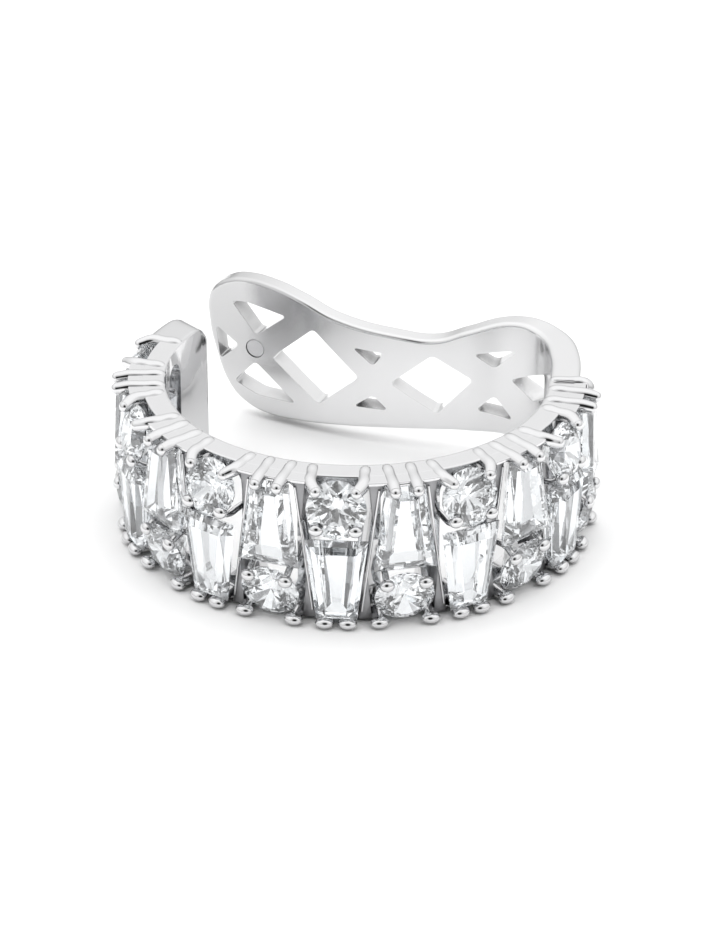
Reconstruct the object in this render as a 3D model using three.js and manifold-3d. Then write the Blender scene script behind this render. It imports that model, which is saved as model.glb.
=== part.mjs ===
// An ear cuff: an open ring set with round brilliants and tapered baguettes in front,
// carried on behind as a pierced lattice plate. Millimetres, +Z up, front towards -Y.
import * as THREE from 'three';
import { mergeVertices } from 'three/addons/utils/BufferGeometryUtils.js';
import Module from 'manifold-3d';

const wasm = await Module();
wasm.setup();

// Ring
const innerWidth = 10.24; // hollow for the ear, side to side
const innerDepth = 9.4; // hollow for the ear, front to back
const wallThickness = 0.35; // gallery wall behind the stones
const roundMargin = 0.06; // from a round stone to the ring's edge
const narrowMargin = 0.2; // from a baguette's narrow end to the ring's edge
const roundReach = 1.03; // from the hollow to the girdle of a round stone
const baguetteReach = 1.07; // from the hollow to the girdle of a baguette
const roundTilt = 13; // degrees that a round stone leans away from the ring's middle
const baguetteTilt = 2; // degrees that a baguette leans the other way
const endCapAngle = 12.6; // degrees of plain metal at the free end
const capReach = 1.2; // from the hollow to the outside of that plain end
const capDrop = 0.06; // from the ring's edge to the plain end's edge
const capEdge = 0.3; // bevel round the plain end
const capRounding = [ // degrees on past the plain end's angle, and its size there
  { past: -0.6, scale: 0.95 },
  { past: -1.1, scale: 0.84 },
];
const wallEdge = 0.06; // bevel on the gallery wall
const skin = 0.01; // that a joined piece stands back from the wall's face
const endWallAngle = 1.4; // degrees of plain wall between the last stones and the plate

// Stones
const columnCount = 12;
const columnPitch = 16.8; // degrees from one column of stones to the next
const firstColumn = -105.8; // degrees, 0 is the front and + is to the right
const roundDiameter = 1.6;
const baguetteLength = 2.42;
const baguetteWide = 1.66;
const baguetteNarrow = 1.06;
const crownHeight = 0.24;
const girdleHeight = 0.04;
const roundPavilion = 0.69;
const baguettePavilion = 0.5;
const brilliantCut = { table: 0.56, stars: 0.8, lowerFacets: 0.25 }; // shares of its diameter
const stepInset = 0.12; // from a baguette's girdle to the step in its crown
const tableInset = 0.3; // and to its table
const keelWidth = 0.12; // ridge along the back of a baguette
const keelTip = 0.02; // half of that ridge's width where it runs out
const backInset = 0.45; // share of the way in to the ridge at the step in its back
const stepShare = 0.6; // height of the steps in a baguette's crown and back
const stoneGap = 0.06; // between the two stones of a column
const seatClearance = 0.04; // between a stone and the metal
const roomSides = 12; // of the room cut for a round stone

// Setting
const ribRadius = 0.15;
const beadRadius = 0.17;
const ribSides = 5;
const beadSides = 4;
const tipReach = 0.2; // from a girdle out to the middle of a prong's tip
const tipLean = 0.05; // that the prongs on a round stone lean towards it
const tipLength = 0.06; // from the bead at a prong's end to its blunt point
const tipShare = 0.6; // of a bead's radius, at its blunt point
const hookShare = 0.6; // of a tip's drop, at the bead where the prong bends over
const roundTipDrop = 0.38; // from the ring's edge down to a prong's tip on a round stone
const narrowTipDrop = 0.42; // and on a baguette's narrow end
const roundRibOffset = 0.66; // from a column's middle to the ribs beside a round stone
const narrowRibOffset = 0.31; // and to the ribs over a baguette's narrow end
const middleBeadOffset = 0.55; // from a column's middle to the beads between its two stones
const beadRise = 0.2; // from a round stone's edge up to those beads' middle
const beadProud = 0.16; // from a round stone's lower girdle out to those beads' points
const webThickness = 0.2;
const webDrop = 0.1; // from the ring's edge down to the webs between the ribs
const webSlope = 0.04; // that a web falls towards the stones
const shelfReach = 0.46; // continuous shelf round the top and bottom of the ring
const shelfStep = 0.02; // from the webs down to the shelf
const dividerThickness = 0.12;
const dividerMargin = 0.4; // from the ring's edge to a divider's end
const dividerReach = 0.99; // from the hollow to a divider's outer edge
const windowWidth = 0.82; // openings in the gallery wall behind the stones
const windowMargin = 0.62;
const cutPast = 0.17; // that a window's cutter passes the wall's inner face

// Lattice plate
const plateHeight = 4.3; // at its left lobe
const plateThickness = 0.55;
const plateRootThickness = 0.82; // where it joins the ring
const plateEdge = 0.14; // bevel on the plate's rim
const plateEdgeShare = 0.3; // most of the plate's height that this bevel takes at its end
const thinning = { from: 0.12, to: 0.34 }; // shares of its length between which it thins
const pierceRadius = 0.13; // rounding of the pierced holes' corners
const padDiameter = 0.52; // plain round dimple on the first crossing
const padDepth = 0.05;

const cuffHeight = roundMargin + roundDiameter + stoneGap + baguetteLength + narrowMargin;
const roundHeight = cuffHeight - roundMargin - roundDiameter / 2;
const baguetteHeight = narrowMargin + baguetteLength / 2;
const baguetteTaper = (baguetteWide - baguetteNarrow) / 2 / baguetteLength;
const rad = THREE.MathUtils.degToRad;
const roundLean = (roundDiameter / 2) * Math.sin(rad(roundTilt));
const roundEdgeReach = roundReach - roundLean / 2; // of a round stone's girdle at its prongs
const lastColumn = firstColumn + (columnCount - 1) * columnPitch;
const bandStart = firstColumn - columnPitch / 2;
const bandEnd = lastColumn + columnPitch / 2;
const up = new THREE.Vector3(0, 0, 1);

// Middle line of the plate's inner face. across and back are shares of half the hollow's
// width and depth; low and high are shares of the plate's height.
const plateStations = [
  { across: 1.0, back: -0.06, low: 0.05, high: 1.0 },
  { across: 1.01, back: 0.25, low: 0.08, high: 1.0 },
  { across: 0.965, back: 0.47, low: 0.13, high: 1.0 },
  { across: 0.84, back: 0.605, low: 0.165, high: 1.0 },
  { across: 0.586, back: 0.685, low: 0.165, high: 0.89 },
  { across: 0.41, back: 0.734, low: 0.145, high: 0.8 },
  { across: 0.234, back: 0.777, low: 0.125, high: 0.8 },
  { across: -0.13, back: 0.904, low: 0.075, high: 0.86 },
  { across: -0.312, back: 0.99, low: 0.05, high: 0.945 },
  { across: -0.488, back: 1.085, low: 0.045, high: 1.0 },
  { across: -0.625, back: 1.153, low: 0.11, high: 1.005 },
  { across: -0.703, back: 1.191, low: 0.215, high: 0.975 },
  { across: -0.771, back: 1.225, low: 0.44, high: 0.91 },
  { across: -0.805, back: 1.242, low: 0.64, high: 0.83 },
];

// Corners of the pierced holes, as shares of the plate's length from the ring and of its height.
const piercings = [
  [[0.982, 0.63], [0.925, 0.515], [0.972, 0.39]],
  [[0.943, 0.83], [0.91, 0.845], [0.808, 0.8], [0.883, 0.615]],
  [[0.938, 0.25], [0.886, 0.42], [0.785, 0.18], [0.88, 0.18]],
  [[0.845, 0.48], [0.741, 0.755], [0.633, 0.46], [0.729, 0.215]],
  [[0.648, 0.675], [0.575, 0.665], [0.6, 0.565]],
  [[0.645, 0.25], [0.6, 0.35], [0.565, 0.255]],
  [[0.561, 0.455], [0.466, 0.69], [0.372, 0.545], [0.454, 0.27]],
  [[0.372, 0.735], [0.325, 0.65], [0.272, 0.8]],
  [[0.288, 0.585], [0.23, 0.485], [0.178, 0.57], [0.178, 0.75]],
  [[0.365, 0.335], [0.325, 0.45], [0.28, 0.295]],
];
const firstCrossing = { along: 0.886, up: 0.515 };

// Solids and lofts

function signedVolume(points, faces) {
  return faces.reduce((sum, [a, b, c]) => {
    const normal = new THREE.Vector3().crossVectors(points[b], points[c]);
    return sum + points[a].dot(normal) / 6;
  }, 0);
}

function geometryOf(points, faces) {
  const outward = signedVolume(points, faces) > 0;
  const index = faces.flatMap(([a, b, c]) => (outward ? [a, b, c] : [a, c, b]));
  const geometry = new THREE.BufferGeometry().setFromPoints(points);
  geometry.setIndex(index);
  return geometry;
}

// Skins rings of points that all have the same number of corners, and closes both ends.
function loft(rings) {
  const sides = rings[0].length;
  const faces = [];
  for (let ring = 0; ring < rings.length - 1; ring += 1) {
    for (let side = 0; side < sides; side += 1) {
      const next = (side + 1) % sides;
      const a = ring * sides + side;
      const b = ring * sides + next;
      faces.push([a, b, b + sides], [a, b + sides, a + sides]);
    }
  }
  const top = (rings.length - 1) * sides;
  for (let side = 1; side < sides - 1; side += 1) {
    faces.push([0, side + 1, side], [top, top + side, top + side + 1]);
  }
  return geometryOf(rings.flat(), faces);
}

function solidOf(geometry) {
  const bare = geometry.clone();
  bare.deleteAttribute('normal');
  bare.deleteAttribute('uv');
  const merged = mergeVertices(bare, 1e-5);
  return new wasm.Manifold(new wasm.Mesh({
    numProp: 3,
    vertProperties: new Float32Array(merged.attributes.position.array),
    triVerts: new Uint32Array(merged.index.array),
  }));
}

function geometryFromSolid(solid) {
  const mesh = solid.getMesh();
  const geometry = new THREE.BufferGeometry();
  geometry.setAttribute('position', new THREE.BufferAttribute(mesh.vertProperties, 3));
  geometry.setIndex(new THREE.BufferAttribute(mesh.triVerts, 1));
  geometry.computeVertexNormals();
  return geometry;
}

function joined(geometries) {
  return geometries.map(solidOf).reduce((whole, solid) => whole.add(solid));
}

// Places on the ring

// Frame on the hollow's edge: x runs along the ring, y up, z outwards.
function ringFrame(angle) {
  const turn = rad(angle);
  const half = { width: innerWidth / 2, depth: innerDepth / 2 };
  const point = new THREE.Vector3(half.width * Math.sin(turn), -half.depth * Math.cos(turn), 0);
  const along = new THREE.Vector3(half.width * Math.cos(turn), half.depth * Math.sin(turn), 0);
  along.normalize();
  const outward = new THREE.Vector3().crossVectors(along, up);
  return new THREE.Matrix4().makeBasis(along, up, outward).setPosition(point);
}

// A column's own frame. Every second column stands on its head.
function columnFrame(column) {
  const frame = ringFrame(firstColumn + column * columnPitch);
  if (column % 2 === 1) {
    frame.multiply(new THREE.Matrix4().makeTranslation(0, cuffHeight, 0));
    frame.multiply(new THREE.Matrix4().makeRotationZ(Math.PI));
  }
  return frame;
}

function seatFrame(height, reach, tilt) {
  const turn = new THREE.Matrix4().makeRotationX(rad(tilt));
  return new THREE.Matrix4().makeTranslation(0, height, reach).multiply(turn);
}

const roundSeat = seatFrame(roundHeight, roundReach, -roundTilt);
const baguetteSeat = seatFrame(baguetteHeight, baguetteReach, baguetteTilt);

// A section of [outward, height] corners carried along the ring, scaled about its middle.
function sweepRing(section, from, to, steps, endScales = []) {
  const box = new THREE.Box2().setFromPoints(section);
  const middle = box.getCenter(new THREE.Vector2());
  const places = Array.from({ length: steps + 1 }, (_, i) => ({
    angle: THREE.MathUtils.lerp(from, to, i / steps),
    scale: 1,
  }));
  endScales.forEach(({ past, scale }) => places.push({ angle: to + past, scale }));
  return loft(places.map(({ angle, scale }) => {
    const frame = ringFrame(angle);
    return section.map((corner) => {
      const spot = corner.clone().sub(middle).multiplyScalar(scale).add(middle);
      return new THREE.Vector3(0, spot.y, spot.x).applyMatrix4(frame);
    });
  }));
}

function bevelledSection(inner, outer, low, high, bevel) {
  return [
    [inner, low + bevel], [inner + bevel, low], [outer - bevel, low], [outer, low + bevel],
    [outer, high - bevel], [outer - bevel, high], [inner + bevel, high], [inner, high - bevel],
  ].map(([out, height]) => new THREE.Vector2(out, height));
}

// Stones, cut about the middle of their girdle with +z towards the table.

function polar(radius, degrees, height) {
  const turn = rad(degrees);
  return new THREE.Vector3(radius * Math.cos(turn), radius * Math.sin(turn), height);
}

function roundStone() {
  const radius = roundDiameter / 2;
  const tableRadius = brilliantCut.table * radius;
  const starRadius = brilliantCut.stars * radius;
  const lowerRadius = brilliantCut.lowerFacets * radius;
  const step = 45;
  const girdleTop = girdleHeight / 2;
  const tableHeight = girdleTop + crownHeight;
  const culet = -girdleTop - roundPavilion;
  const halfStep = Math.cos(rad(step / 2));
  const crownSlope = crownHeight / (radius - tableRadius);
  const starHeight = girdleTop + crownSlope * (radius - starRadius * halfStep);
  const lowerHeight = culet + (roundPavilion * lowerRadius * halfStep) / radius;
  const points = [new THREE.Vector3(0, 0, tableHeight), new THREE.Vector3(0, 0, culet)];
  const place = (point) => points.push(point) - 1;
  const eight = (make) => Array.from({ length: 8 }, (_, k) => place(make(k)));
  const table = eight((k) => polar(tableRadius, step * k, tableHeight));
  const star = eight((k) => polar(starRadius, step * (k + 0.5), starHeight));
  const lower = eight((k) => polar(lowerRadius, step * (k + 0.5), lowerHeight));
  const rim = (height) => Array.from({ length: 16 }, (_, k) => place(polar(radius, (step * k) / 2, height)));
  const girdleHigh = rim(girdleTop);
  const girdleLow = rim(-girdleTop);
  const faces = [];
  for (let k = 0; k < 8; k += 1) {
    const next = (k + 1) % 8;
    const before = (k + 7) % 8;
    const corner = 2 * k;
    const between = corner + 1;
    const following = (corner + 2) % 16;
    faces.push([0, table[k], table[next]]);
    faces.push([table[k], star[k], table[next]]);
    faces.push([table[k], star[before], girdleHigh[corner]], [table[k], girdleHigh[corner], star[k]]);
    faces.push([star[k], girdleHigh[corner], girdleHigh[between]]);
    faces.push([star[k], girdleHigh[between], girdleHigh[following]]);
    faces.push([girdleHigh[corner], girdleLow[corner], girdleLow[between]]);
    faces.push([girdleHigh[corner], girdleLow[between], girdleHigh[between]]);
    faces.push([girdleHigh[between], girdleLow[between], girdleLow[following]]);
    faces.push([girdleHigh[between], girdleLow[following], girdleHigh[following]]);
    faces.push([lower[k], girdleLow[between], girdleLow[corner]]);
    faces.push([lower[k], girdleLow[following], girdleLow[between]]);
    faces.push([1, girdleLow[corner], lower[before]], [1, lower[k], girdleLow[corner]]);
  }
  return geometryOf(points, faces);
}

// The room that a round stone needs: the same stone as two plain cones, a clearance larger.
function roundRoom() {
  const radius = (roundDiameter / 2 + seatClearance) / Math.cos(Math.PI / roomSides);
  const girdleTop = (girdleHeight + seatClearance) / 2;
  const ring = (size, height) => (
    Array.from({ length: roomSides }, (_, k) => polar(size, (360 / roomSides) * k, height))
  );
  return loft([
    ring(seatClearance, -girdleTop - roundPavilion),
    ring(radius, -girdleTop),
    ring(radius, girdleTop),
    ring(brilliantCut.table * radius, girdleTop + crownHeight),
  ]);
}

// The tapered outline drawn in on all four sides, its wide end at +y.
function baguetteRing(inset, height) {
  const halfLength = baguetteLength / 2;
  const sideInset = inset * Math.hypot(1, baguetteTaper);
  const middle = (baguetteWide + baguetteNarrow) / 4;
  const widthAt = (y) => Math.max(middle + baguetteTaper * y - sideInset, keelTip);
  const far = halfLength - inset;
  return [[-1, -far], [1, -far], [1, far], [-1, far]]
    .map(([side, y]) => new THREE.Vector3(side * widthAt(y), y, height));
}

// growth makes the same stone larger all round, for the seat that it sits in.
function baguetteStone(growth = 0) {
  const girdleTop = girdleHeight / 2 + growth / 2;
  const keelInset = (baguetteNarrow - keelWidth) / 2;
  return loft([
    baguetteRing(keelInset - growth, -girdleTop - baguettePavilion),
    baguetteRing(backInset * keelInset - growth, -girdleTop - stepShare * baguettePavilion),
    baguetteRing(-growth, -girdleTop),
    baguetteRing(-growth, girdleTop),
    baguetteRing(stepInset - growth, girdleTop + stepShare * crownHeight),
    baguetteRing(tableInset - growth, girdleTop + crownHeight),
  ]);
}

// Setting

// A bar that follows spots of { x, y, z, radius } in a column's frame.
function bar(spots, sides) {
  return loft(spots.map((spot, i) => {
    const before = spots[Math.max(i - 1, 0)];
    const after = spots[Math.min(i + 1, spots.length - 1)];
    const run = new THREE.Vector3(0, after.y - before.y, after.z - before.z).normalize();
    const side = new THREE.Vector3(1, 0, 0);
    const rise = new THREE.Vector3().crossVectors(run, side);
    return Array.from({ length: sides }, (_, k) => {
      const turn = rad((360 / sides) * (k + 0.5) - 90);
      return new THREE.Vector3(spot.x, spot.y, spot.z)
        .addScaledVector(side, spot.radius * Math.cos(turn))
        .addScaledVector(rise, spot.radius * Math.sin(turn));
    });
  }));
}

// A rib across the ring's edge that hooks over a stone as a prong. edge is +1 at the top.
function rib(offset, tipOffset, tipDrop, reach, edge) {
  const heightBelow = (drop) => (edge > 0 ? cuffHeight - drop : drop);
  const tip = reach + tipReach;
  return bar([
    { x: offset, y: heightBelow(ribRadius), z: wallThickness / 2, radius: ribRadius },
    { x: offset, y: heightBelow(ribRadius), z: reach - tipLength, radius: ribRadius },
    { x: tipOffset, y: heightBelow(hookShare * tipDrop), z: tip - tipLength / 2, radius: beadRadius },
    { x: tipOffset, y: heightBelow(tipDrop + tipLength), z: tip, radius: tipShare * beadRadius },
  ], ribSides);
}

function middleBead(side) {
  const x = side * middleBeadOffset;
  const y = roundHeight - roundDiameter / 2 + beadRise;
  const tip = roundReach + roundLean + beadProud;
  return bar([
    { x, y, z: wallThickness / 2, radius: ribRadius },
    { x, y, z: tip - 2 * tipLength, radius: beadRadius },
    { x, y, z: tip, radius: tipShare * beadRadius },
  ], beadSides);
}

// The sloping plate between two ribs.
function web(halfWidth, edge) {
  const start = wallThickness / 2;
  const end = roundEdgeReach - tipLength;
  const heights = edge > 0
    ? [cuffHeight - webDrop - webThickness, cuffHeight - webDrop]
    : [webDrop, webDrop + webThickness];
  return loft([start, end].map((z, i) => {
    const [low, high] = heights.map((height) => height - i * edge * webSlope);
    return [[-halfWidth, low], [halfWidth, low], [halfWidth, high], [-halfWidth, high]]
      .map(([x, y]) => new THREE.Vector3(x, y, z));
  }));
}

function columnMetal(column) {
  const frame = columnFrame(column);
  const pieces = [web(roundRibOffset, 1), web(narrowRibOffset, -1)];
  [-1, 1].forEach((side) => {
    const wide = side * roundRibOffset;
    const narrow = side * narrowRibOffset;
    pieces.push(rib(wide, wide - side * tipLean, roundTipDrop, roundEdgeReach, 1));
    pieces.push(rib(narrow, narrow, narrowTipDrop, baguetteReach, -1));
    pieces.push(middleBead(side));
  });
  return pieces.map((piece) => piece.applyMatrix4(frame));
}

// A slanted bar between two columns, so that the columns taper like their baguettes.
function divider(index) {
  const height = cuffHeight - 2 * dividerMargin;
  const depth = dividerReach - wallThickness / 2;
  const slant = Math.atan(baguetteTaper);
  const lean = index % 2 === 0 ? -slant : slant;
  return new THREE.BoxGeometry(dividerThickness, height, depth)
    .rotateZ(lean)
    .translate(0, cuffHeight / 2, wallThickness / 2 + depth / 2)
    .applyMatrix4(ringFrame(bandStart + (index + 1) * columnPitch));
}

function galleryWindow(column) {
  const halfWidth = windowWidth / 2;
  const shape = new THREE.Shape();
  shape.absarc(0, cuffHeight - windowMargin - halfWidth, halfWidth, 0, Math.PI);
  shape.absarc(0, windowMargin + halfWidth, halfWidth, Math.PI, 2 * Math.PI);
  return new THREE.ExtrudeGeometry(shape, {
    depth: cutPast + wallThickness,
    bevelEnabled: false,
    curveSegments: 4,
  })
    .translate(0, 0, -cutPast)
    .applyMatrix4(ringFrame(firstColumn + column * columnPitch));
}

function shelf(edge) {
  const start = wallThickness / 2;
  const heights = edge > 0
    ? [cuffHeight - 2 * webDrop - webThickness, cuffHeight - webDrop - shelfStep]
    : [webDrop + shelfStep, 2 * webDrop + webThickness];
  const section = [
    [start, heights[0]], [shelfReach, heights[0]], [shelfReach, heights[1]], [start, heights[1]],
  ].map(([out, height]) => new THREE.Vector2(out, height));
  return sweepRing(section, bandStart - 1, bandEnd + 1, 2 * columnCount);
}

function ringMetal() {
  const wall = bevelledSection(0, wallThickness, 0, cuffHeight, wallEdge);
  const cap = bevelledSection(skin, capReach, capDrop, cuffHeight - capDrop, capEdge);
  const endWall = bevelledSection(skin, roundReach, webDrop, cuffHeight - webDrop, webDrop);
  const capEnd = bandStart - endCapAngle;
  const pieces = [
    sweepRing(wall, bandEnd + endWallAngle, capEnd, 3 * columnCount),
    sweepRing(cap, bandStart, capEnd, 4, capRounding),
    sweepRing(endWall, bandEnd, bandEnd + endWallAngle, 1),
    shelf(1),
    shelf(-1),
  ];
  for (let column = 0; column < columnCount; column += 1) {
    pieces.push(...columnMetal(column));
    if (column < columnCount - 1) {
      pieces.push(divider(column));
    }
  }
  return joined(pieces);
}

// Lattice plate

const halfHollow = new THREE.Vector3(innerWidth / 2, innerDepth / 2, 1);
const plateLine = new THREE.CatmullRomCurve3(plateStations.map(
  ({ across, back }) => new THREE.Vector3(across, back, 0).multiply(halfHollow),
));
const plateEdges = new THREE.CatmullRomCurve3(plateStations.map(
  ({ low, high }) => new THREE.Vector3(low, high, 0).multiplyScalar(plateHeight),
));

// Frame on the plate's inner face: x runs along the plate, y up, z outwards.
function plateFrame(point, tangent) {
  const outward = new THREE.Vector3().crossVectors(tangent, up);
  return new THREE.Matrix4().makeBasis(tangent, up, outward).setPosition(point);
}

function plateBody() {
  const steps = 40;
  const rings = [];
  for (let i = 0; i <= steps; i += 1) {
    const share = i / steps;
    const frame = plateFrame(plateLine.getPoint(share), plateLine.getTangent(share));
    const { x: low, y: high } = plateEdges.getPoint(share);
    const thinned = THREE.MathUtils.smoothstep(share, thinning.from, thinning.to);
    const thickness = THREE.MathUtils.lerp(plateRootThickness, plateThickness, thinned);
    const edge = Math.min(plateEdge, plateEdgeShare * (high - low));
    rings.push(bevelledSection(0, thickness, low, high, edge)
      .map((corner) => new THREE.Vector3(0, corner.y, corner.x).applyMatrix4(frame)));
  }
  return loft(rings);
}

function roundedPolygon(corners, radius) {
  const shape = new THREE.Shape();
  corners.forEach((corner, i) => {
    const before = corners[(i + corners.length - 1) % corners.length];
    const after = corners[(i + 1) % corners.length];
    const towards = (other) => other.clone().sub(corner).setLength(radius).add(corner);
    const entry = towards(before);
    const exit = towards(after);
    if (i === 0) {
      shape.moveTo(entry.x, entry.y);
    } else {
      shape.lineTo(entry.x, entry.y);
    }
    shape.quadraticCurveTo(corner.x, corner.y, exit.x, exit.y);
  });
  shape.closePath();
  return shape;
}

// Turns a flat shape on the plate into a prism through it, square to the face there.
function platePrism(shape, along, from, depth, curveSegments) {
  const frame = plateFrame(plateLine.getPointAt(along), plateLine.getTangentAt(along));
  return new THREE.ExtrudeGeometry(shape, { depth, bevelEnabled: false, curveSegments })
    .translate(0, 0, from)
    .applyMatrix4(frame);
}

function piercing(corners) {
  const length = plateLine.getLength();
  const middle = corners.reduce((sum, [along]) => sum + along, 0) / corners.length;
  const outline = corners.map(([along, height]) => (
    new THREE.Vector2((along - middle) * length, height * plateHeight)
  ));
  const reach = plateRootThickness;
  return platePrism(roundedPolygon(outline, pierceRadius), middle, -reach, 3 * reach, 2);
}

function pad() {
  const circle = new THREE.Shape();
  circle.absarc(0, firstCrossing.up * plateHeight, padDiameter / 2, 0, 2 * Math.PI);
  return platePrism(circle, firstCrossing.along, -plateThickness, plateThickness + padDepth, 6);
}

function plateMetal() {
  return piercings
    .map(piercing)
    .concat([pad()])
    .reduce((plate, hole) => plate.subtract(solidOf(hole)), solidOf(plateBody()));
}

// Assembly

function seats() {
  const cutters = [];
  for (let column = 0; column < columnCount; column += 1) {
    const frame = columnFrame(column);
    cutters.push(roundRoom().applyMatrix4(roundSeat).applyMatrix4(frame));
    cutters.push(baguetteStone(seatClearance).applyMatrix4(baguetteSeat).applyMatrix4(frame));
  }
  return cutters;
}

function cuffFrame() {
  let metal = ringMetal();
  for (let column = 0; column < columnCount; column += 1) {
    metal = metal.subtract(solidOf(galleryWindow(column)));
  }
  metal = metal.add(plateMetal());
  seats().forEach((seat) => {
    metal = metal.subtract(solidOf(seat));
  });
  return geometryFromSolid(metal);
}

const whiteMetal = new THREE.MeshStandardMaterial({ color: 0xe6e7e9, metalness: 1, roughness: 0.12 });
const clearStone = new THREE.MeshStandardMaterial({ color: 0xeef3f8, metalness: 0, roughness: 0.02 });

function namedMesh(name, geometry, material) {
  const mesh = new THREE.Mesh(geometry, material);
  mesh.name = name;
  return mesh;
}

function stoneColumn(column) {
  const group = new THREE.Group();
  const number = String(column + 1).padStart(2, '0');
  const brilliant = namedMesh(`round_stone_${number}`, roundStone(), clearStone);
  const baguette = namedMesh(`baguette_stone_${number}`, baguetteStone(), clearStone);
  brilliant.applyMatrix4(roundSeat);
  baguette.applyMatrix4(baguetteSeat);
  group.add(brilliant, baguette);
  group.applyMatrix4(columnFrame(column));
  return group;
}

const cuff = new THREE.Group();
cuff.add(namedMesh('cuff_frame', cuffFrame(), whiteMetal));
for (let column = 0; column < columnCount; column += 1) {
  cuff.add(stoneColumn(column));
}

// The origin is the middle of the cuff's box, on the surface that it lies on.
const box = new THREE.Box3().setFromObject(cuff, true);
const middle = box.getCenter(new THREE.Vector3());
cuff.position.set(-middle.x, -middle.y, -box.min.z);

export default cuff;
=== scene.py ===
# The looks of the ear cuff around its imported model. Metres, +Z up, the front towards -Y.
import math

import bpy
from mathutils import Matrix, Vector, geometry


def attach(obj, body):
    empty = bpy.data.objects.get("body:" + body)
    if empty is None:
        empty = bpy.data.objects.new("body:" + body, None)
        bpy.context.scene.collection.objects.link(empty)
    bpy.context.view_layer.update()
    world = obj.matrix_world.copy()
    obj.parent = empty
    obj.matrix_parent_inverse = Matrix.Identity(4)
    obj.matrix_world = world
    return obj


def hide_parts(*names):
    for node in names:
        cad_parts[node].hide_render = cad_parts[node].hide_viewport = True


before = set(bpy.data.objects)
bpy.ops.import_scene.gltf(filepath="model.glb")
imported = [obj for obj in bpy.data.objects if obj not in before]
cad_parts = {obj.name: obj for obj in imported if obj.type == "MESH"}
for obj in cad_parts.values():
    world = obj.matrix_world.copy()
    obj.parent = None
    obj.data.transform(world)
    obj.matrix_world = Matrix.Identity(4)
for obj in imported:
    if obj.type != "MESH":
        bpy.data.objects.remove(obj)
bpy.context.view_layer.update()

# The metal is modelled in millimetres about the hollow's middle and brought down at the end
workScale = 0.001
hollowMiddle = (0.000004, -0.0001199, 0.0)  # in the row frame, in metres

cuff = {  # millimetres and degrees
    "hollowWidth": 10.24,
    "hollowDepth": 9.4,
    "height": 4.34,
    "wall": 0.35,
    "columns": 12,
    "pitch": 16.8,
    "firstColumn": -105.8,
    "capAngle": 12.6,
    "endWallAngle": 1.4,
    "roundReach": 1.03,  # from the hollow to a stone's girdle
    "roundEdgeReach": 0.94,  # the same by the ring's edge, as the stone leans back
    "baguetteReach": 1.07,
    "taper": 0.124,  # lean of a baguette's side
}
bandStart = cuff["firstColumn"] - cuff["pitch"] / 2
bandEnd = bandStart + cuff["columns"] * cuff["pitch"]
capEnd = bandStart - cuff["capAngle"]
wallEnd = bandEnd + cuff["endWallAngle"]

near = 0.01  # millimetres; corners closer than this to a plane count as on it
longEdge = 1  # millimetres; the edges along a blank are longer than this
cutPast = 1  # millimetres that a cutter reaches past what it cuts
flatAngle = 35  # degrees; sharper edges stay sharp on walls and plates
roundAngle = 50  # and on rods


# Selecting and finishing

def clearSelection():
    if bpy.context.object and bpy.context.object.mode != "OBJECT":
        bpy.ops.object.mode_set(mode="OBJECT")
    bpy.ops.object.select_all(action="DESELECT")


def pick(piece):
    clearSelection()
    piece.select_set(True)
    bpy.context.view_layer.objects.active = piece


def applyPlace(piece):
    pick(piece)
    bpy.ops.object.transform_apply(location=True, rotation=True, scale=True)


def joinAll(pieces, name):
    pick(pieces[0])
    for piece in pieces:
        piece.select_set(True)
    bpy.ops.object.join()
    pieces[0].name = name
    pieces[0].data.name = name
    return pieces[0]


def pickEdges(piece, wanted):
    pick(piece)
    bpy.ops.object.mode_set(mode="EDIT")
    bpy.ops.mesh.select_mode(type="EDGE")
    bpy.ops.mesh.select_all(action="DESELECT")
    bpy.ops.object.mode_set(mode="OBJECT")
    for edge in piece.data.edges:
        start, end = (piece.data.vertices[i].co for i in edge.vertices)
        edge.select = wanted(start, end)
    bpy.ops.object.mode_set(mode="EDIT")


def bevelEdges(piece, wanted, width, segments):
    pickEdges(piece, wanted)
    bpy.ops.mesh.bevel(offset=width, segments=segments, profile=0.5, clamp_overlap=True)
    bpy.ops.object.mode_set(mode="OBJECT")


def addModifier(piece, kind, **settings):
    pick(piece)
    bpy.ops.object.modifier_add(type=kind)
    modifier = piece.modifiers[-1]
    for key, value in settings.items():
        setattr(modifier, key, value)
    return modifier


def applyModifier(piece, kind, **settings):
    modifier = addModifier(piece, kind, **settings)
    bpy.ops.object.modifier_apply(modifier=modifier.name)


def cutAway(piece, cutter):
    applyModifier(piece, "BOOLEAN", object=cutter, operation="DIFFERENCE", solver="EXACT")
    bpy.data.objects.remove(cutter)


def bevelSharp(piece, width):
    applyModifier(
        piece, "BEVEL", width=width, segments=2,
        limit_method="ANGLE", angle_limit=math.radians(40),
    )


def smoothByAngle(piece, degrees):
    pick(piece)
    bpy.ops.object.shade_smooth_by_angle(angle=math.radians(degrees))


def smoothOver(piece):
    smoothByAngle(piece, flatAngle)
    applyModifier(piece, "WEIGHTED_NORMAL", keep_sharp=True, weight=90)


def block(name, low, high):
    low = Vector(low)
    high = Vector(high)
    clearSelection()
    bpy.ops.mesh.primitive_cube_add(size=1, location=(low + high) / 2, scale=high - low)
    piece = bpy.context.object
    piece.name = name
    applyPlace(piece)
    return piece


def copyOf(piece, name):
    pick(piece)
    bpy.ops.object.duplicate(linked=False)
    twin = bpy.context.object
    twin.name = name
    twin.data.name = name
    return twin


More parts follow.
